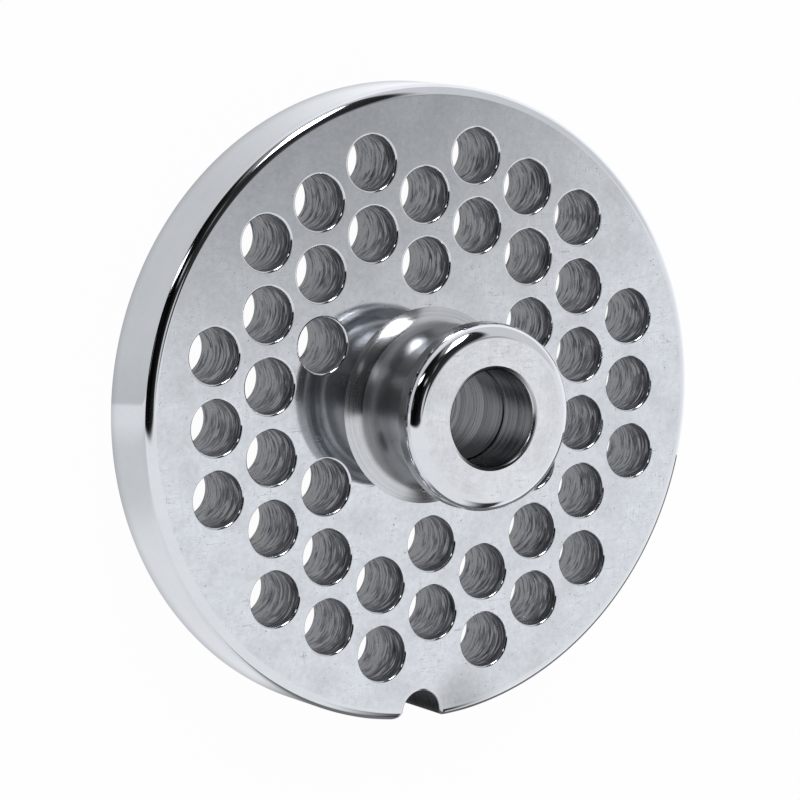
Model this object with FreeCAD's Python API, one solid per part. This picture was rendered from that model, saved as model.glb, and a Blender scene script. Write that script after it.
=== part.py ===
import FreeCAD, Part
import math
import os

# Meat grinder plate: one turned and drilled disc of stainless steel with a spool-shaped hub.
# It lies on its flat back, the hub stands up along +Z, and the origin is where the axis of
# the bore meets the back. Sizes are in millimetres.

# Plate
plate_diameter = 70.0
plate_thickness = 8.2
rim_round = 1.2               # on the front edge, tangent to the face and to the rim
back_edge_chamfer = 0.3

# Grinding holes, in columns along Y
hole_diameter = 6.0
hole_pitch = 7.68             # between the centres of neighbours
hole_edge_break = 0.22        # on the front only: the back is the cutting side and stays sharp
least_web = 0.6               # metal between a hole and the foot of the hub or the keyway
least_web_to_rim = 3.0        # metal between a hole and the rim

# Hub
hub_height = 12.8             # above the face of the plate
foot_diameter = 21.6          # where the flare of the hub starts on the face
foot_height = 4.2             # where that flare has become the straight neck
neck_diameter = 16.0
head_diameter = 20.3
head_length = 3.4
head_front_round = 1.5
head_back_round = 0.7
head_neck_fillet = 1.2

# Bore
bore_diameter = 10.2
bore_front_diameter = 10.4    # a second cut from the front left it slightly wider there
bore_front_depth = 5.9
bore_mouth_round = 0.45
bore_back_chamfer = 0.3

# Keyway, a round cut in the rim near the -Y end
keyway_diameter = 4.8
keyway_depth = 3.3            # in from the rim
keyway_direction = -92.7      # degrees from +X
keyway_lip_round = 1.1        # on the two corners where it meets the rim
keyway_edge_break = 0.35      # along its edge in the face

# Radii and heights that follow
plate_radius = plate_diameter / 2
hole_radius = hole_diameter / 2
foot_radius = foot_diameter / 2
neck_radius = neck_diameter / 2
head_radius = head_diameter / 2
bore_radius = bore_diameter / 2
bore_front_radius = bore_front_diameter / 2
keyway_radius = keyway_diameter / 2
keyway_from_axis = plate_radius - keyway_depth + keyway_radius
hub_top = plate_thickness + hub_height
head_underside = hub_top - head_length

# The two rounds on the head's underside share the ledge between the neck and the head
ledge = head_radius - neck_radius
neck_fillet = min(head_neck_fillet, ledge * 0.6)
back_round = min(head_back_round, ledge * 0.35)

# How far a cutter runs past what it cuts
overrun = 1.0


def at(radius, height):
    """A point of a turned section: its distance from the axis and its height."""
    return FreeCAD.Vector(radius, 0, height)


def arc(start, end, centre):
    """The shorter arc about the centre from start to end."""
    radius = (start - centre).Length
    towards_middle = (start - centre) + (end - centre)
    middle = centre + towards_middle.normalize() * radius
    return Part.Arc(start, middle, end)


def turned(stations):
    """Turns a closed section about the Z axis.

    Each station is a point followed by the curve that leads to the next station's point,
    or by None for a straight line.
    """
    edges = []
    for (start, curve), (end, _) in zip(stations, stations[1:] + stations[:1]):
        if curve is None:
            curve = Part.LineSegment(start, end)
        edges.append(curve.toShape())
    section = Part.Face(Part.Wire(edges))
    return section.revolve(FreeCAD.Vector(0, 0, 0), FreeCAD.Vector(0, 0, 1), 360)


def make_blank():
    """The plate with its hub and bore, as it comes off the lathe."""
    rim_low = at(plate_radius, plate_thickness - rim_round)
    rim_high = at(plate_radius - rim_round, plate_thickness)
    rim_centre = at(plate_radius - rim_round, plate_thickness - rim_round)

    # The flare of the foot is the circle through its start that is tangent to the neck
    flare_reach = foot_radius - neck_radius
    flare_radius = (flare_reach ** 2 + foot_height ** 2) / (2 * flare_reach)
    flare_low = at(foot_radius, plate_thickness)
    flare_high = at(neck_radius, plate_thickness + foot_height)
    flare_centre = at(neck_radius + flare_radius, plate_thickness + foot_height)

    fillet_low = at(neck_radius, head_underside - neck_fillet)
    fillet_high = at(neck_radius + neck_fillet, head_underside)
    fillet_centre = at(neck_radius + neck_fillet, head_underside - neck_fillet)

    back_low = at(head_radius - back_round, head_underside)
    back_high = at(head_radius, head_underside + back_round)
    back_centre = at(head_radius - back_round, head_underside + back_round)

    front_low = at(head_radius, hub_top - head_front_round)
    front_high = at(head_radius - head_front_round, hub_top)
    front_centre = at(head_radius - head_front_round, hub_top - head_front_round)

    mouth_high = at(bore_front_radius + bore_mouth_round, hub_top)
    mouth_low = at(bore_front_radius, hub_top - bore_mouth_round)
    mouth_centre = at(bore_front_radius + bore_mouth_round, hub_top - bore_mouth_round)

    return turned([
        (at(bore_radius + bore_back_chamfer, 0), None),
        (at(plate_radius - back_edge_chamfer, 0), None),
        (at(plate_radius, back_edge_chamfer), None),
        (rim_low, arc(rim_low, rim_high, rim_centre)),
        (rim_high, None),
        (flare_low, arc(flare_low, flare_high, flare_centre)),
        (flare_high, None),
        (fillet_low, arc(fillet_low, fillet_high, fillet_centre)),
        (fillet_high, None),
        (back_low, arc(back_low, back_high, back_centre)),
        (back_high, None),
        (front_low, arc(front_low, front_high, front_centre)),
        (front_high, None),
        (mouth_high, arc(mouth_high, mouth_low, mouth_centre)),
        (mouth_low, None),
        (at(bore_front_radius, hub_top - bore_front_depth), None),
        (at(bore_radius, hub_top - bore_front_depth), None),
        (at(bore_radius, bore_back_chamfer), None),
    ])


def make_cutter(radius, edge_break):
    """A round cutter through the plate that also breaks the edge in the face."""
    return turned([
        (at(0, -overrun), None),
        (at(radius, -overrun), None),
        (at(radius, plate_thickness - edge_break), None),
        (at(radius + edge_break + overrun, plate_thickness + overrun), None),
        (at(0, plate_thickness + overrun), None),
    ])


def hole_centres():
    """The centres of the grinding holes: a triangular lattice, kept between the hub and the rim."""
    nearest = foot_radius + least_web + hole_radius
    farthest = plate_radius - least_web_to_rim - hole_radius
    from_keyway = keyway_radius + least_web + hole_radius
    column_step = hole_pitch * math.cos(math.radians(30))
    row_step = hole_pitch / 2
    reach = math.ceil(plate_radius / row_step)
    centres = []
    for column in range(-reach, reach + 1):
        for row in range(-reach, reach + 1):
            centre = FreeCAD.Vector(column * column_step, row * row_step, 0)
            in_lattice = (column + row) % 2 == 0
            in_ring = nearest <= centre.Length <= farthest
            clear = centre.distanceToPoint(keyway_centre()) >= from_keyway
            if in_lattice and in_ring and clear:
                centres.append(centre)
    return centres


def keyway_centre():
    """The centre of the keyway's round, seen from the front."""
    turn = FreeCAD.Rotation(FreeCAD.Vector(0, 0, 1), keyway_direction)
    return turn.multVec(FreeCAD.Vector(keyway_from_axis, 0, 0))


def make_keyway_slot():
    """The keyway's outline with its two rounded lips, drawn on the +X side.

    A lip is a circle that touches the keyway's round from outside and the rim from inside.
    """
    rim_to_lip = plate_radius - keyway_lip_round
    keyway_to_lip = keyway_radius + keyway_lip_round
    lip_turn = math.acos((rim_to_lip ** 2 + keyway_from_axis ** 2 - keyway_to_lip ** 2)
                         / (2 * rim_to_lip * keyway_from_axis))
    start_height = FreeCAD.Vector(0, 0, -overrun)
    middle = start_height + FreeCAD.Vector(keyway_from_axis, 0, 0)
    deepest = middle - FreeCAD.Vector(keyway_radius, 0, 0)

    # The lip on the +Y side
    out = FreeCAD.Vector(math.cos(lip_turn), math.sin(lip_turn), 0)
    lip = start_height + out * rim_to_lip
    on_keyway = middle + (lip - middle).normalize() * keyway_radius
    on_rim = lip + out * keyway_lip_round
    outside = on_rim + out * overrun

    # The same points on the -Y side
    mirror = FreeCAD.Matrix()
    mirror.scale(1, -1, 1)
    far_lip, far_on_keyway, far_on_rim, far_outside = (
        mirror.multVec(point) for point in (lip, on_keyway, on_rim, outside))

    outline = [
        Part.LineSegment(outside, on_rim),
        arc(on_rim, on_keyway, lip),
        Part.Arc(on_keyway, deepest, far_on_keyway),
        arc(far_on_keyway, far_on_rim, far_lip),
        Part.LineSegment(far_on_rim, far_outside),
        Part.LineSegment(far_outside, outside),
    ]
    face = Part.Face(Part.Wire([curve.toShape() for curve in outline]))
    return face.extrude(FreeCAD.Vector(0, 0, plate_thickness + 2 * overrun))


def make_keyway_cutters():
    """The keyway's slot and the cutter that breaks its edge, turned to where the keyway is."""
    edge_cutter = make_cutter(keyway_radius, keyway_edge_break)
    edge_cutter.translate(FreeCAD.Vector(keyway_from_axis, 0, 0))
    cutters = [make_keyway_slot(), edge_cutter]
    for cutter in cutters:
        cutter.rotate(FreeCAD.Vector(0, 0, 0), FreeCAD.Vector(0, 0, 1), keyway_direction)
    return cutters


def make_grinder_plate():
    """The finished plate: the blank with its grinding holes and its keyway."""
    drill = make_cutter(hole_radius, hole_edge_break)
    drilled = [drill.translated(centre) for centre in hole_centres()]
    return make_blank().cut(drilled + make_keyway_cutters())


grinder_plate = make_grinder_plate()
solid = grinder_plate.Solids[0]
os.makedirs("parts", exist_ok=True)
solid.exportStep("parts/grinder_plate.step")
print("solids", len(grinder_plate.Solids), "valid", solid.isValid(), "holes", len(hole_centres()))
print("volume mm3", round(solid.Volume, 1), "faces", len(solid.Faces))
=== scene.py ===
import bpy
import numpy as np
from mathutils import Matrix, Vector
from mathutils.geometry import delaunay_2d_cdt


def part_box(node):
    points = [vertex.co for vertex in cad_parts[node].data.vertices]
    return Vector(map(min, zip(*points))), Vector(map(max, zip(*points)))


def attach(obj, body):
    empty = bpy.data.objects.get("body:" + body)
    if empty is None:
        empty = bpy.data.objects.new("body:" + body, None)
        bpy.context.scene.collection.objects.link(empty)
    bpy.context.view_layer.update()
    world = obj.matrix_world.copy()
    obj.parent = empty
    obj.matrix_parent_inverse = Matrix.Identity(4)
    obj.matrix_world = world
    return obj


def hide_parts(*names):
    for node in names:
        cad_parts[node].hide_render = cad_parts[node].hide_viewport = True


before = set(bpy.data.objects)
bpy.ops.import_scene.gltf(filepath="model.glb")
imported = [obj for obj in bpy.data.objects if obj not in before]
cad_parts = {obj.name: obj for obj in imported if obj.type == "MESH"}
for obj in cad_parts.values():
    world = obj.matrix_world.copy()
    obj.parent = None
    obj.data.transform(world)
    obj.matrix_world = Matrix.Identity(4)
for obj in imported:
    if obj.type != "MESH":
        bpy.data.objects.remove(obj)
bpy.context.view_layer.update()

# The plate lies on its back with its hub up. The origin is where the axis of the bore meets the
# back. Lengths are in metres.
mm = 0.001
box_low, box_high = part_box("grinder_plate")
plate_radius = max(box_high[0], -box_low[0])
hub_top = box_high[2]

# Plate
plate_thickness = 8.2 * mm
rim_round = 1.2 * mm
back_edge_chamfer = 0.3 * mm

# Grinding holes, in columns along Y
hole_radius = 3.0 * mm
hole_pitch = 7.68 * mm
hole_edge_round = 0.22 * mm
hole_ring_inner = 14.4 * mm
hole_ring_outer = 29.0 * mm
least_web = 0.6 * mm            # metal between a hole and the keyway
lattice_reach = 9               # steps of the lattice on each side of the axis

# Hub
foot_radius = 10.8 * mm
foot_height = 4.2 * mm
neck_radius = 8.0 * mm
head_radius = 10.15 * mm
head_length = 3.4 * mm
head_front_round = 1.5 * mm
head_back_round = 0.7 * mm
head_neck_fillet = 1.2 * mm
head_underside = hub_top - head_length

# Bore
bore_radius = 5.1 * mm
bore_front_radius = 5.2 * mm
bore_front_depth = 5.9 * mm
bore_mouth_round = 0.45 * mm
bore_back_chamfer = 0.3 * mm

# Keyway
keyway_radius = 2.4 * mm
keyway_depth = 3.3 * mm
keyway_direction = np.radians(-92.7)
keyway_lip_round = 1.1 * mm
keyway_edge_round = 0.35 * mm
keyway_from_axis = plate_radius - keyway_depth + keyway_radius
keyway_back_chamfer = 0.05 * mm

# The regions of the surface, in the order of the plate's materials
regions = range(10)
FACE, RIM, NECK, HEAD, END_FACE, BORE, HOLE, KEYWAY, BACK, FOOT = regions

# How finely the surfaces are divided. Turns go once round the axis of the hub or of a hole, steps
# go along one stretch of the outline, and rows are the rings of points on one round.
hub_turns = 192
hole_turns = 56
rim_steps = 672
rim_steps_beside_keyway = 40
lip_steps = 18
keyway_steps = 44
rim_round_rows = 15
bore_mouth_rows = 9
head_front_rows = 15
head_back_rows = 11
head_neck_rows = 13
flare_rows = 25
last_neck_row = 15              # of the flare, from the top; the rows below it are the foot
hole_edge_rows = 6

# Narrow rings beside an edge, which keep the shading of a round off the flat next to it
flat_collar = 0.05 * mm
hole_collar = 0.1 * mm
wall_collar = 0.15 * mm

# Round the keyway: half the stretch of the outline that is divided more finely, how far along the
# rim its edge round fades into the rim's, and the dip that the flat of the face makes round it
beside_keyway = np.radians(12)
keyway_fade = np.radians(5)
wholly_keyway = 0.999           # belonging above which a point of the wall is the keyway's
dip_depth = 3.0 * mm
dip_width = np.radians(5.5)

weld_distance = 1e-3 * mm       # points that round to the same multiple of it become one
level_within = 0.001 * mm       # a cell that falls by less has the finish of the face
least_distance = 1e-6           # in mm, below which the triangles of a flat merge points
sharp_angle = np.radians(20)

# Tones from 0 to 255, as a picture shows them, and the brightness that gives them
white_tone = 255
tone_curve = 2.2
mirrored_share = 0.87           # of the light that polished steel mirrors


# Camera, fitted to the holes, the outline and the hub's circles
def place_camera():
    """A camera at camera_place that looks along view, with its picture's top towards picture_up."""
    camera_place = Vector((-232.42, 63.37, 376.9)) * mm
    view = Vector((0.5217578, -0.1425106, -0.8411061))
    picture_up = Vector((0.0912394, 0.9896150, -0.1110749))
    right = view.cross(picture_up).normalized()
    upwards = right.cross(view).normalized()
    turn = Matrix((right, upwards, -view.normalized())).transposed()
    data = bpy.data.cameras.new("camera")
    data.sensor_width = 36
    data.lens = 181.55
    data.clip_start = 0.01
    camera = bpy.data.objects.new("camera", data)
    camera.matrix_world = Matrix.Translation(camera_place) @ turn.to_4x4()
    bpy.context.scene.collection.objects.link(camera)
    bpy.context.scene.camera = camera


class Sheet:
    """Collects grids of points and loose faces, then makes them one welded mesh."""

    def __init__(self):
        self.points = []
        self.faces = []
        self.count = 0

    def add_points(self, points):
        points = np.asarray(points, float).reshape(-1, 3)
        start = self.count
        self.points.append(points)
        self.count += len(points)
        return start

    def add_grid(self, grid, part=0):
        """A grid of points, rows by columns, as quads; the last column joins the first.

        Where the columns run anticlockwise, rows that go outwards face up and rows that go down
        face outwards.
        """
        rows, columns = grid.shape[:2]
        start = self.add_points(grid)
        number = start + np.arange(rows * columns).reshape(rows, columns)
        number = np.hstack([number, number[:, :1]])
        quads = np.stack([number[:-1, :-1], number[1:, :-1], number[1:, 1:], number[:-1, 1:]], -1)
        self.faces.append((quads.reshape(-1, 4), part))

    def add_triangles(self, points, triangles, part=0):
        start = self.add_points(points)
        self.faces.append((np.asarray(triangles) + start, part))

    def make(self, name, materials):
        """The mesh of all that was added, with points in the same place made one."""
        points = np.vstack(self.points)
        key = np.round(points / weld_distance).astype(np.int64)
        _, first, same = np.unique(key, axis=0, return_index=True, return_inverse=True)
        same = same.reshape(-1)
        vertices = points[first]
        corners = np.concatenate([same[f].reshape(-1) for f, _ in self.faces])
        sizes = np.concatenate([np.full(len(f), f.shape[1]) for f, _ in self.faces])
        parts = np.concatenate([np.broadcast_to(part, len(f)) for f, part in self.faces])
        mesh = bpy.data.meshes.new(name)
        mesh.vertices.add(len(vertices))
        mesh.vertices.foreach_set("co", vertices.astype(np.float32).reshape(-1))
        mesh.loops.add(len(corners))
        mesh.loops.foreach_set("vertex_index", corners.astype(np.int32))
        starts = np.concatenate([[0], np.cumsum(sizes)[:-1]])
        mesh.polygons.add(len(sizes))
        mesh.polygons.foreach_set("loop_start", starts.astype(np.int32))
        mesh.polygons.foreach_set("loop_total", sizes.astype(np.int32))
        for material in materials:
            mesh.materials.append(material)
        mesh.polygons.foreach_set("material_index", parts.astype(np.int32))
        mesh.update(calc_edges=True)
        mesh.validate()
        mesh.shade_smooth()
        return mesh


def arc_points(centre, radius, start, end, count):
    """Points on a circle in the section, from angle start to angle end, ends included."""
    angle = np.radians(np.linspace(start, end, count))
    return np.stack([centre[0] + radius * np.cos(angle), centre[1] + radius * np.sin(angle)], 1)


def turned(section, turns):
    """The section, as (distance from the axis, height), carried round the Z axis."""
    angle = np.arange(turns) * 2 * np.pi / turns
    section = np.asarray(section)
    x = section[:, :1] * np.cos(angle)
    y = section[:, :1] * np.sin(angle)
    z = np.repeat(section[:, 1:], turns, axis=1)
    return np.stack([x, y, z], -1)


def hole_centres():
    """The triangular lattice: column * pitch * cos 30 across and row * pitch / 2 along, where
    column + row is even, kept between the hub and the rim and clear of the keyway."""
    steps = np.arange(-lattice_reach, lattice_reach + 1)
    column, row = np.meshgrid(steps, steps)
    even = (column + row) % 2 == 0
    x = column[even] * hole_pitch * np.cos(np.radians(30))
    y = row[even] * hole_pitch / 2
    distance = np.hypot(x, y)
    keyway_x = keyway_from_axis * np.cos(keyway_direction)
    keyway_y = keyway_from_axis * np.sin(keyway_direction)
    clear = np.hypot(x - keyway_x, y - keyway_y) > keyway_radius + hole_radius + least_web
    keep = (distance > hole_ring_inner) & (distance < hole_ring_outer) & clear
    return np.stack([x[keep], y[keep]], 1)


def keyway_frame(points):
    """Points drawn with the keyway on the +X side, turned to where the keyway is."""
    cosine, sine = np.cos(keyway_direction), np.sin(keyway_direction)
    return np.stack([points[..., 0] * cosine - points[..., 1] * sine,
                     points[..., 0] * sine + points[..., 1] * cosine], -1)


def outline():
    """The plate's outline, anticlockwise, with the keyway on the +X side.

    The rim is a circle about the axis, the keyway a circle about its own centre, and each lip a
    circle that touches both. Returns the points, their outward normals, how much each belongs to
    the keyway (0 on the rim, 1 in the keyway), and the far end of the spoke that runs from each
    into the flat of the face.
    """
    lip, keyway, lip_turn, lip_end = keyway_corners()
    far_lip = lip * (1, -1)
    start = np.arctan2(far_lip[1], far_lip[0] - keyway[0]) % (2 * np.pi)

    def directions(first, last, count):
        angle = np.linspace(first, last, count, endpoint=False)
        return np.stack([np.cos(angle), np.sin(angle)], 1)

    rim_before = directions(-beside_keyway, -lip_turn, rim_steps_beside_keyway)
    far_round = directions(-lip_turn, -lip_end, lip_steps)
    cut = -directions(start, 2 * np.pi - start, keyway_steps)
    near_round = directions(lip_end, lip_turn, lip_steps)
    rim_after = directions(lip_turn, beside_keyway, rim_steps_beside_keyway)
    rest = directions(beside_keyway, 2 * np.pi - beside_keyway, rim_steps)
    points = np.concatenate([plate_radius * rim_before,
                             far_lip + keyway_lip_round * far_round,
                             keyway - keyway_radius * cut,
                             lip + keyway_lip_round * near_round,
                             plate_radius * rim_after,
                             plate_radius * rest])
    normals = np.concatenate([rim_before, far_round, cut, near_round, rim_after, rest])

    # Belonging to the keyway fades out along the rim past the lips
    angle = np.arctan2(points[:, 1], points[:, 0])
    fade = np.clip((np.abs(angle) - lip_turn) / keyway_fade, 0, 1)
    belongs = 1 - fade ** 2 * (3 - 2 * fade)

    # The spokes run straight in on the rim. Near the keyway their ends are spread evenly along a
    # dip round it.
    near_count = len(points) - len(rest)
    ring = np.vstack([points[:near_count], points[near_count]])
    along = np.concatenate([[0], np.cumsum(np.linalg.norm(np.diff(ring, axis=0), axis=1))])
    angle[:near_count] = -beside_keyway + 2 * beside_keyway * along[:-1] / along[-1]
    dip = dip_depth * np.exp(-(angle / dip_width) ** 2)
    reach = plate_radius - rim_round - flat_collar - dip
    spoke_end = reach[:, None] * np.stack([np.cos(angle), np.sin(angle)], 1)
    return points, normals, belongs, spoke_end


def keyway_corners():
    """The centre of the lip on the +Y side, the keyway's centre, the lip's turn from the X axis,
    and the direction from the lip's centre to the keyway's, with the keyway on the +X side."""
    rim_to_lip = plate_radius - keyway_lip_round
    keyway_to_lip = keyway_radius + keyway_lip_round
    lip_turn = np.arccos((rim_to_lip ** 2 + keyway_from_axis ** 2 - keyway_to_lip ** 2)
                         / (2 * rim_to_lip * keyway_from_axis))
    lip = rim_to_lip * np.array([np.cos(lip_turn), np.sin(lip_turn)])
    keyway = np.array([keyway_from_axis, 0])
    lip_end = np.arctan2(-lip[1], keyway[0] - lip[0])
    return lip, keyway, lip_turn, lip_end


def rounded_drop(inside, size):
    """How far a quarter round of that size has fallen at a distance inside its outer edge."""
    share = np.clip(1 - inside / size, 0, 1)
    return size * (1 - np.sqrt(1 - share ** 2))


def edge_height(points, belongs):
    """Height of the face near the outline: the rim's round and, in the keyway, its small one."""
    lip, keyway, lip_turn, lip_end = keyway_corners()
    to_rim = plate_radius - np.linalg.norm(points, axis=-1)
    to_keyway = np.linalg.norm(points - keyway, axis=-1) - keyway_radius
    folded = np.stack([points[..., 0], np.abs(points[..., 1])], -1) - lip
    direction = np.arctan2(folded[..., 1], folded[..., 0])
    on_lip = (direction > lip_end) & (direction < lip_turn)
    to_lip = keyway_lip_round - np.linalg.norm(folded, axis=-1)
    to_edge = np.where(on_lip, to_lip, np.minimum(to_rim, to_keyway))
    small = belongs * rounded_drop(to_edge, keyway_edge_round)
    return plate_thickness - rounded_drop(to_rim, rim_round) - small


def make_rim(sheet):
    """The edge of the plate, from the flat of the face over the round and down to the back.

    A row of the top lies at the same share of every spoke, the rows lie closer together towards
    the outline, and edge_height gives their height. The level cells have the finish of the face.
    Returns the loops where the two flats begin.
    """
    points, normals, belongs, spoke_end = outline()
    turn = np.radians(np.linspace(0, 90, rim_round_rows))
    on_round = (flat_collar + rim_round * np.sin(turn)) / (flat_collar + rim_round)
    share = np.concatenate([[0], on_round])
    plan = spoke_end + share[:, None, None] * (points - spoke_end)
    height = edge_height(plan, belongs)
    height[:2] = plate_thickness
    top = np.concatenate([keyway_frame(plan), height[..., None]], -1)
    chamfer = back_edge_chamfer * (1 - belongs) + keyway_back_chamfer * belongs
    wall_top = height[-1]
    outer, inset = keyway_frame(points), keyway_frame(points - chamfer[:, None] * normals)
    levels = [(outer, wall_top), (outer, wall_top - wall_collar), (outer, wall_top * 0.5),
              (outer, chamfer + flat_collar), (outer, chamfer), (inset, 0 * chamfer)]
    wall = np.stack([np.concatenate([p, z[:, None]], 1) for p, z in levels])
    drop = plate_thickness - height
    drop = np.maximum(drop[:-1], drop[1:])
    flat = np.maximum(drop, np.roll(drop, -1, axis=1)) < level_within
    sheet.add_grid(top, part=np.where(flat, FACE, RIM).reshape(-1))
    in_keyway = belongs > wholly_keyway
    sheet.add_grid(wall[:-1], part=np.tile(np.where(in_keyway, KEYWAY, RIM), len(wall) - 2))
    sheet.add_grid(wall[-2:], part=RIM)
    return top[0, :, :2], wall[-1, :, :2]


def make_hub(sheet):
    """The hub and the bore: one section, from the back up the bore and down the outside of the
    hub, carried round the axis. Returns the loops where it meets the face and the back."""
    top, face = hub_top, plate_thickness
    step = top - bore_front_depth
    reach = foot_radius - neck_radius
    flare = (reach ** 2 + foot_height ** 2) / (2 * reach)
    flare_centre = (neck_radius + flare, face + foot_height)
    flare_end = 180 + np.degrees(np.arctan2(foot_height, flare - reach))
    mouth_centre = (bore_front_radius + bore_mouth_round, top - bore_mouth_round)
    front_centre = (head_radius - head_front_round, top - head_front_round)
    back_centre = (head_radius - head_back_round, head_underside + head_back_round)
    fillet_centre = (neck_radius + head_neck_fillet, head_underside - head_neck_fillet)
    bore = np.array([(bore_radius + bore_back_chamfer, 0), (bore_radius, bore_back_chamfer),
                     (bore_radius, bore_back_chamfer + flat_collar), (bore_radius, step / 2),
                     (bore_radius, step - flat_collar), (bore_radius, step),
                     (bore_front_radius, step), (bore_front_radius, step + flat_collar),
                     (bore_front_radius, top - bore_mouth_round - flat_collar)])
    mouth = arc_points(mouth_centre, bore_mouth_round, 180, 90, bore_mouth_rows)
    end_face = np.array([(mouth[-1, 0], top), (mouth[-1, 0] + flat_collar, top),
                         (front_centre[0] - flat_collar, top)])
    front = arc_points(front_centre, head_front_round, 90, 0, head_front_rows)
    back = arc_points(back_centre, head_back_round, 0, -90, head_back_rows)
    fillet = arc_points(fillet_centre, head_neck_fillet, 90, 180, head_neck_rows)
    foot = arc_points(flare_centre, flare, 180, flare_end, flare_rows)
    foot[-1] = (foot_radius, face)
    neck = np.vstack([front[-1:], back, fillet, foot[:last_neck_row + 1]])
    for section, part in ((np.vstack([bore, mouth]), BORE), (end_face, END_FACE),
                          (np.vstack([end_face[-1:], front]), HEAD), (neck, NECK),
                          (foot[last_neck_row:], FOOT)):
        sheet.add_grid(turned(section, hub_turns), part=part)
    loop = turned(section[-1:], hub_turns)[0, :, :2]
    return loop, turned(bore[:1], hub_turns)[0, :, :2]


def make_holes(sheet):
    """The walls of the grinding holes: a straight tube whose edge in the face is rounded.
    Returns the loops where each meets the face and the back."""
    edge_centre = (hole_radius + hole_edge_round, plate_thickness - hole_edge_round)
    straight = np.array([(hole_radius, 0), (hole_radius, hole_collar),
                         (hole_radius, edge_centre[1] - hole_collar)])
    edge = arc_points(edge_centre, hole_edge_round, 180, 90, hole_edge_rows)
    collar = np.array([(edge[-1, 0] + flat_collar, plate_thickness)])
    wall = turned(np.vstack([straight, edge[:1]]), hole_turns)
    lip = turned(np.vstack([edge, collar]), hole_turns)
    fronts, backs = [], []
    for centre in hole_centres():
        place = np.array([centre[0], centre[1], 0])
        sheet.add_grid(wall + place, part=HOLE)
        sheet.add_grid(lip + place, part=FACE)
        fronts.append((lip + place)[-1, :, :2])
        backs.append((wall + place)[0, :, :2])
    return fronts, backs


def make_flat(sheet, loops, height, up, part):
    """A flat with holes in it: the triangles between the loops, which an odd number of the
    loops' edges crosses on the way out to one side."""
    points = np.vstack(loops)
    starts = np.cumsum([0] + [len(loop) for loop in loops])
    edges = np.vstack([np.stack([np.arange(a, b), np.roll(np.arange(a, b), -1)], 1)
                       for a, b in zip(starts[:-1], starts[1:])])
    made = delaunay_2d_cdt((points / mm).tolist(), edges.tolist(), [], 0, least_distance)
    corners, sources = made[2:4]
    triangles = np.array([source[0] for source in sources])[np.array(corners)]
    middle = points[triangles].mean(1)
    a, b = points[edges[:, 0]], points[edges[:, 1]]
    x, y = middle[:, :1], middle[:, 1:]
    rise = np.where(b[:, 1] == a[:, 1], 1, b[:, 1] - a[:, 1])
    crossing = (b[:, 0] - a[:, 0]) * (y - a[:, 1]) / rise + a[:, 0]
    across = ((a[:, 1] > y) != (b[:, 1] > y)) & (x < crossing)
    triangles = triangles[across.sum(1) % 2 == 1]
    p, q, r = points[triangles[:, 0]], points[triangles[:, 1]], points[triangles[:, 2]]
    area = (q[:, 0] - p[:, 0]) * (r[:, 1] - p[:, 1]) - (q[:, 1] - p[:, 1]) * (r[:, 0] - p[:, 0])
    triangles = np.where((area > 0)[:, None] == up, triangles, triangles[:, ::-1])
    level = np.concatenate([points, np.full((len(points), 1), height)], 1)
    sheet.add_triangles(level, triangles, part)


def make_plate(materials):
    """The whole plate as one closed mesh."""
    sheet = Sheet()
    rim_front, rim_back = make_rim(sheet)
    hub_front, hub_back = make_hub(sheet)
    hole_fronts, hole_backs = make_holes(sheet)
    make_flat(sheet, [rim_front, hub_front] + hole_fronts, plate_thickness, True, FACE)
    make_flat(sheet, [rim_back, hub_back] + hole_backs, 0.0, False, BACK)
    mesh = sheet.make("polished_plate", materials)
    mesh.set_sharp_from_angle(angle=sharp_angle)
    plate = bpy.data.objects.new("polished_plate", mesh)
    bpy.context.scene.collection.objects.link(plate)
    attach(plate, "root")
    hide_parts("grinder_plate")


class Wire:
    """One socket of a node tree. An expression on wires adds its Math nodes."""

    def __init__(self, tree, socket=None):
        self.tree = tree
        self.socket = socket

    def node(self, kind, settings=None, values=None, output=0):
        """A new node: first its settings, then the values or wires of its sockets."""
        made = self.tree.nodes.new("ShaderNode" + kind)
        for name, value in (settings or {}).items():
            setattr(made, name, value)
        for name, value in (values or {}).items():
            if isinstance(value, Wire):
                self.tree.links.new(value.socket, made.inputs[name])
            else:
                made.inputs[name].default_value = value
        return Wire(self.tree, made.outputs[output])

    def math(self, operation, *others):
        return self.node("Math", {"operation": operation}, dict(enumerate((self,) + others)))

    def __add__(self, other):
        return self.math("ADD", other)

    def __mul__(self, other):
        return self.math("MULTIPLY", other)

    def __sub__(self, other):
        return self.math("SUBTRACT", other)

    def __rsub__(self, other):
        return self.math("MULTIPLY_ADD", -1.0, other)

    __radd__ = __add__
    __rmul__ = __mul__

    def dot(self, vector):
        return self.node("VectorMath", {"operation": "DOT_PRODUCT"}, {0: self, 1: vector}, "Value")

    def times(self, vector):
        return self.node("VectorMath", {"operation": "MULTIPLY"}, {0: self, 1: vector})

    def rise(self, low, high):
        """0 below low, 1 above high and an S between; it falls where high is the smaller."""
        return self.node("MapRange", {"interpolation_type": "SMOOTHSTEP"},
                         {"Value": self, "From Min": low, "From Max": high})

    def band(self, middle, half, soft):
        """1 within half of the middle, 0 further out."""
        return (self - middle).math("ABSOLUTE").rise(half + soft, half - soft)

    def towards(self, other, share):
        """This value moved towards the other by a share of the way."""
        return self.node("Mix", {}, {"Factor": share, "A": self, "B": other}, "Result")

    def noise(self, scale, detail=2.0, rough=0.5):
        """Noise from 0 to 1 at this place, with that many waves to the unit."""
        return self.node("TexNoise", {}, {"Vector": self, "Scale": scale, "Detail": detail,
                                          "Roughness": rough}, "Fac")

    def glow(self):
        """What glow gives, for a tone that varies."""
        return (self * (1 / white_tone)).math("POWER", tone_curve) * (1 / mirrored_share)


def glow(tone):
    """The brightness that polished steel mirrors as a tone from 0 to 255."""
    return (tone / white_tone) ** tone_curve / mirrored_share


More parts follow.
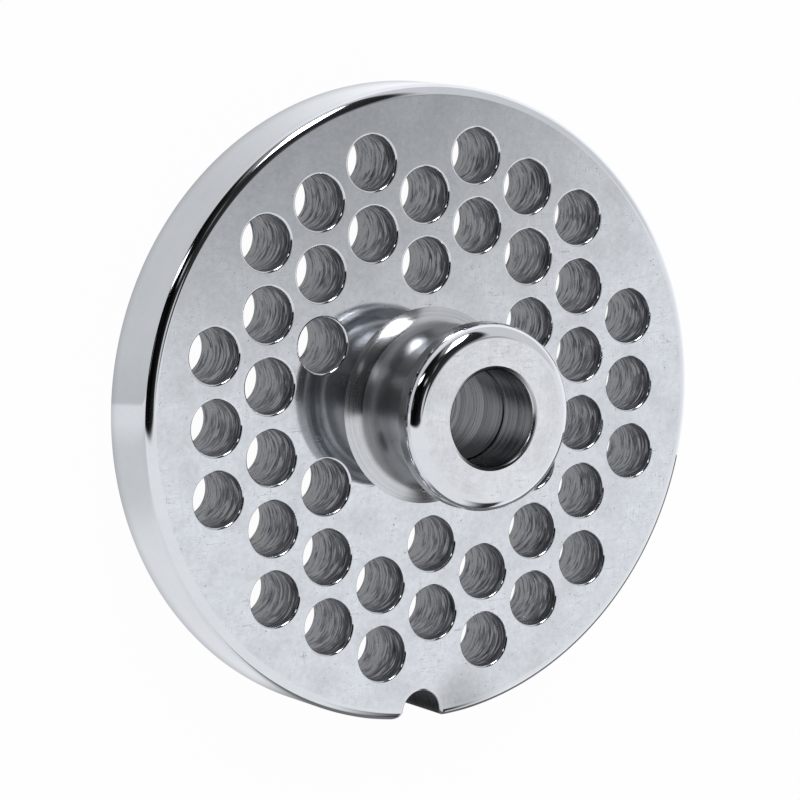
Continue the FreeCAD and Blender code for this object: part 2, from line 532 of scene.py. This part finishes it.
def heading(azimuth, elevation):
    """The unit vector at an azimuth and an elevation in degrees."""
    turn, climb = np.radians(azimuth), np.radians(elevation)
    return np.array([np.cos(climb) * np.cos(turn), np.cos(climb) * np.sin(turn), np.sin(climb)])


def panel(direction, azimuth, elevation, width, height, soft, lean=0):
    """A soft-edged panel of the studio, 1 inside: its half width and height in degrees, and how
    far it leans over."""
    middle = heading(azimuth, elevation)
    across = np.cross((0, 0, 1), middle)
    across /= np.linalg.norm(across)
    upwards = np.cross(middle, across)
    turn = np.radians(lean)
    along = np.cos(turn) * across + np.sin(turn) * upwards
    over = np.cos(turn) * upwards - np.sin(turn) * across
    wide, high, blur = np.sin(np.radians([width, height, soft]))
    in_front = direction.dot(tuple(middle)).rise(0.3, 0.5)
    return (direction.dot(tuple(along)).band(0, wide, blur)
            * direction.dot(tuple(over)).band(0, high, blur) * in_front)


def make_studio():
    """A white tent that is open towards the camera, with two lamps and a few dim shapes in the
    dark opening and a skylight straight over the plate. The camera itself sees white."""
    world = bpy.data.worlds.new("studio")
    bpy.context.scene.world = world
    world.use_nodes = True
    tree = world.node_tree
    start = Wire(tree)
    direction = start.node("TexCoord", {}, {}, "Generated")
    height = direction.dot((0, 0, 1))
    across = direction.dot((-0.117, 0.987, 0.106))

    # The tent: a little darker on the +Y side, brightest low down at the back, and with a dark
    # strip between two planes low down on the -Y side
    tent = across.rise(-0.02, 0.02) * (glow(204) - glow(228)) + glow(228)
    low_back = height.rise(0.60, 0.0) * direction.dot(tuple(heading(-32, 0))).rise(0.55, 0.9)
    tent = tent.towards(glow(248), low_back * 0.8)
    from_plane = direction.dot((0.7494, 0.5434, -0.3787))
    strip = from_plane.rise(-0.50, -0.22) * from_plane.rise(-0.06, -0.14)
    strip = strip * direction.dot(tuple(heading(-66, 5))).rise(0.76, 0.88)
    tent = tent.towards(glow(50), strip)

    # The dark opening, bounded by three planes: an uneven room that is darkest on the camera's
    # side, with a dim lobe near its corner
    opening = (across.rise(-0.035, 0.025)
               * direction.dot((-0.8506, 0.1494, 0.5044)).rise(-0.02, 0.06)
               * direction.dot((-0.219, -0.211, 0.952)).rise(-0.02, 0.10))
    room = direction.noise(3.0, 2.0) * 40 - 20
    depth = direction.dot(tuple(heading(165, 20))).rise(0.45, 0.95)
    dark = (depth * -30 + 46 + room).math("MAXIMUM", 6.0).glow()
    light = tent.towards(dark, opening)
    corner = direction.dot(tuple(heading(-2, 60))).rise(*np.cos(np.radians((8, 1.5))))
    light = light.towards(glow(110), corner * 0.72)

    # The skylight, so that the face is bright from above too
    skylight = height.rise(*np.cos(np.radians((9, 5.5))))
    light = light.towards(glow(195), skylight)

    # Each panel's azimuth, elevation, half width, half height, softness, lean and brightness
    for azimuth, elevation, wide, high, soft, lean, strength in (
            (97, 30, 8, 12, 5, 0, glow(140)),           # dim light beside the first lamp
            (84, 37, 7, 13, 2.5, 0, 13.0),              # first lamp
            (142, 13, 3.5, 9, 1.5, 20, 4.0),            # second lamp, low down
            (136, 56, 2.0, 6, 2.0, 20, glow(170)),      # two narrow panels high up
            (103, 66, 2.0, 5, 2.0, 10, glow(120)),
            (167, 12, 5, 0.5, 0.5, 4, glow(150)),       # three thin lines low down
            (166, 9.5, 6, 0.4, 0.4, 4, glow(120)),
            (168, 6.5, 4, 0.4, 0.4, 4, glow(150))):
        shape = panel(direction, azimuth, elevation, wide, high, soft, lean)
        light = light.towards(strength, shape)

    cool = start.node("CombineXYZ", {}, {0: light * 0.985, 1: light, 2: light * 1.02})
    seen = start.node("LightPath", {}, {}, "Is Camera Ray")
    tent_shader = start.node("Background", {}, {"Color": cool})
    white = start.node("Background", {}, {"Color": (1, 1, 1, 1)})
    both = start.node("MixShader", {}, {0: seen, 1: tent_shader, 2: white})
    output = tree.nodes["World Output"]
    tree.links.new(both.socket, output.inputs["Surface"])


def make_floor():
    """A wide white floor that keeps the plate's shadow and looks almost white to the camera. In
    the steel it glows with a tone that goes by the angle round the plate, with a painted shadow
    under it."""
    mesh = bpy.data.meshes.new("floor")
    mesh.from_pydata([(-3, -3, 0), (3, -3, 0), (3, 3, 0), (-3, 3, 0)], [], [(0, 1, 2, 3)])
    material = bpy.data.materials.new("white_floor")
    material.use_nodes = True
    tree = material.node_tree
    tree.nodes.remove(tree.nodes["Principled BSDF"])
    start = Wire(tree)
    place = start.node("TexCoord", {}, {}, "Object")
    # The angle round the plate in degrees, from the side that faces the camera towards -Y
    front, side = heading(165, 0), heading(255, 0)
    angle = place.dot(tuple(side)).math("ARCTAN2", place.dot(tuple(front))) * (180 / np.pi)
    tone = angle.rise(-30, -82) * 48 + 197
    tone = tone - angle.rise(-1, 11) * 8
    tone = tone + angle.rise(10.6, 11.6) * 30
    tone = tone - angle.rise(14, 20) * 18
    tone = tone + angle.rise(27, 38) * 20
    tone = tone - angle.rise(72, 90) * 110
    # Painted shadow: the glow seen in the steel is darker under the plate
    from_axis = start.node("VectorMath", {"operation": "LENGTH"}, {0: place}, "Value")
    under_plate = from_axis.rise(plate_radius + 1.0 * mm, plate_radius - 1.5 * mm)
    bright = tone.towards(124.0, under_plate).glow()
    mirrored = start.node("Emission", {}, {"Color": start.node(
        "CombineXYZ", {}, {0: bright * 0.985, 1: bright, 2: bright * 1.025})})
    paper = start.node("BsdfDiffuse", {}, {"Color": (0.86, 0.86, 0.86, 1)})
    white = start.node("Emission", {}, {"Color": (1, 1, 1, 1)})
    white_share = 0.97
    shown = start.node("MixShader", {}, {0: white_share, 1: paper, 2: white})
    camera = start.node("LightPath", {}, {}, "Is Camera Ray")
    glossy = start.node("LightPath", {}, {}, "Is Glossy Ray")
    unseen = start.node("MixShader", {}, {0: glossy, 1: paper, 2: mirrored})
    floor = start.node("MixShader", {}, {0: camera, 1: unseen, 2: shown})
    tree.links.new(floor.socket, tree.nodes["Material Output"].inputs["Surface"])
    mesh.materials.append(material)
    piece = bpy.data.objects.new("floor", mesh)
    bpy.context.scene.collection.objects.link(piece)


def steel(name, color, roughness, haze=0.0, wave=0.0, rings=0.0, ring_fineness=5.0, drilled=False,
          pits=0.0, scratches=0.0, shade=0.0, painted_glints=0.0, satin=0.0, tone=None):
    """One finish of the steel. Haze is how uneven its brightness and roughness are. Wave is the
    height of its slow unevenness and rings that of the tool's marks, both in metres. Pits sets how
    many pits there are, scratches how much the scratches show, shade how far the tool's marks
    darken it, painted_glints how bright the glints painted on its finest marks are, and satin the
    share that scatters light.
    The marks run round the plate's axis, or level along the wall where drilled. Tone gives
    painted light and shade, as a further brightness from the place in mm."""
    material = bpy.data.materials.new(name)
    material.use_nodes = True
    tree = material.node_tree
    shader = tree.nodes["Principled BSDF"]
    shader.inputs["Metallic"].default_value = 1.0 - satin
    start = Wire(tree)
    place = start.node("TexCoord", {}, {}, "Object").times((1 / mm, 1 / mm, 1 / mm))
    if drilled:
        ring_place = place.times((0.16, 0.16, 1.0))
    else:
        level_place = place.times((1, 1, 0))
        from_axis = start.node("VectorMath", {"operation": "LENGTH"}, {0: level_place}, "Value")
        ring_place = start.node("CombineXYZ", {}, {0: from_axis, 1: place.noise(0.15, 1.0) * 0.35,
                                                   2: place.dot((0, 0, 1))})
    marks = ring_place.noise(ring_fineness, 3.0, 0.7).rise(0.30, 0.70)
    cloud = place.noise(0.22, 4.0, 0.6).rise(0.25, 0.75)
    grain = place.noise(1.6, 4.0, 0.7)

    # Pits are the rare peaks of a fine noise; scratches are thin bands of two stretched ones
    pit_start, pit_full = 0.80 - 0.05 * pits, 0.84 - 0.05 * pits
    pit_strength = min(pits, 1.0)
    pit_depth = 0.004 * mm
    pit = place.noise(2.6, 2.0, 0.7).rise(pit_start, pit_full)
    thin = place.times((0.10, 1.6, 1.6)).noise(2.2, 1.0).band(0.5, 0.005, 0.004)
    crossed = place.times((1.7, 0.12, 1.7)).noise(1.7, 1.0).band(0.5, 0.004, 0.003)
    patchy = place.noise(0.22, 1.0).rise(0.50, 0.64)
    scratch = thin.math("MAXIMUM", crossed) * patchy * scratches

    darker = (cloud - 0.5) * haze * 0.45 + (grain - 0.5) * haze * 0.9 + (marks - 0.5) * shade
    level = (1.0 + darker - pit * pit_strength * 0.5 - scratch * 0.2).math("MAXIMUM", 0.02)
    # Painted glints: the finest marks made brighter in the colour
    if painted_glints:
        level = level + ring_place.noise(ring_fineness * 1.15, 1.0).rise(0.52, 0.70) * painted_glints
    # Painted light and shade from the place
    if tone:
        level = level * tone(place)
    tint = start.node("CombineXYZ", {}, {axis: level * share for axis, share in enumerate(color)})
    tree.links.new(tint.socket, shader.inputs["Base Color"])
    rough = (cloud - 0.5) * haze * -0.10 + (marks - 0.5) * shade * 0.15 + scratch * 0.12 + roughness
    rough = rough.math("MAXIMUM", 0.03)
    tree.links.new(rough.socket, shader.inputs["Roughness"])
    height = cloud * wave + marks * rings - pit * pit_strength * pit_depth
    bump = start.node("Bump", {}, {"Height": height, "Distance": 1.0})
    tree.links.new(bump.socket, shader.inputs["Normal"])
    return material


def neck_painted_shading(place):
    """Painted shade: full brightness up to 0.75 mm above the face, darkest from 1.3 to 4 mm above
    it, and painted light that makes it a little lighter again towards the head."""
    height = place.dot((0, 0, 1))
    return 1.0 - height.rise(8.95, 9.5) * 0.60 + height.rise(12.2, 15.0) * 0.22


def bore_painted_shading(place):
    """Painted shade: a fine dark line in the step's corner, darker towards +Y and -Y, painted light
    between.
    """
    step_shadow = place.dot((0, 0, 1)).band((hub_top - bore_front_depth) / mm, 0.07, 0.05)
    side_shade = place.dot((0, 1, 0)).math("ABSOLUTE").rise(2.4, 5.3)
    return (1.0 - step_shadow * 0.85) * (1.35 - side_shade * 1.27)


def hole_painted_shading(place):
    """Painted light and shade: lightest at the back and darker towards the face."""
    height = place.dot((0, 0, 1))
    return 1.70 - height.rise(0.0, 6.5) * 0.95 - height.rise(5.6, 7.9) * 0.50


def face_painted_shade(place):
    """Painted shade round a point on the rim, on the +X side of the keyway."""
    shade_middle = (3.6, -34.8, 8.2)
    ends = {0: place, 1: shade_middle}
    beside = place.node("VectorMath", {"operation": "DISTANCE"}, ends, "Value")
    return 1.0 - beside.rise(6.5, 0.5) * 0.36


def keyway_painted_shading(place):
    """Painted light and shade: lightest on the -X side and darkest on the +X side."""
    return 1.9 - place.dot((1, 0, 0)).rise(-2.6, 0.0) * 1.8


bright_steel = (0.775, 0.795, 0.825)
place_camera()
make_studio()
make_floor()
finishes = {
    FACE: steel("polished_face", (0.725, 0.748, 0.78), 0.07, haze=0.42, wave=8e-7, pits=2.0,
                scratches=2.0, tone=face_painted_shade),
    RIM: steel("polished_rim", bright_steel, 0.055, haze=0.10, wave=2e-7, pits=0.3, tone=face_painted_shade),
    NECK: steel("turned_neck", (0.64, 0.65, 0.67), 0.29, haze=0.15, rings=3e-7, shade=0.14,
                satin=0.16, tone=neck_painted_shading),
    HEAD: steel("polished_head", bright_steel, 0.06, haze=0.10, rings=1e-7),
    END_FACE: steel("turned_end", (0.79, 0.80, 0.825), 0.12, haze=0.42, rings=2e-7, shade=0.08,
                    pits=1.8, scratches=2.0),
    BORE: steel("bored_wall", (0.48, 0.49, 0.51), 0.28, rings=2.5e-6, ring_fineness=3.4, shade=0.9,
                painted_glints=0.9, tone=bore_painted_shading),
    HOLE: steel("drilled_wall", (0.50, 0.52, 0.56), 0.25, haze=0.8, rings=4e-6, ring_fineness=2.6,
                drilled=True, shade=1.4, painted_glints=2.9, tone=hole_painted_shading),
    KEYWAY: steel("cut_keyway", (0.66, 0.67, 0.70), 0.28, haze=0.8, rings=1e-6, drilled=True,
                  shade=0.9, painted_glints=1.2, tone=keyway_painted_shading),
    BACK: steel("ground_back", (0.80, 0.81, 0.82), 0.20, haze=0.10, rings=2e-7, shade=0.05),
    FOOT: steel("polished_foot", (0.60, 0.61, 0.63), 0.17, haze=0.15, rings=2e-7, shade=0.18,
                satin=0.06, tone=neck_painted_shading)}
make_plate([finishes[part] for part in regions])
bpy.context.scene.view_settings.view_transform = "Standard"
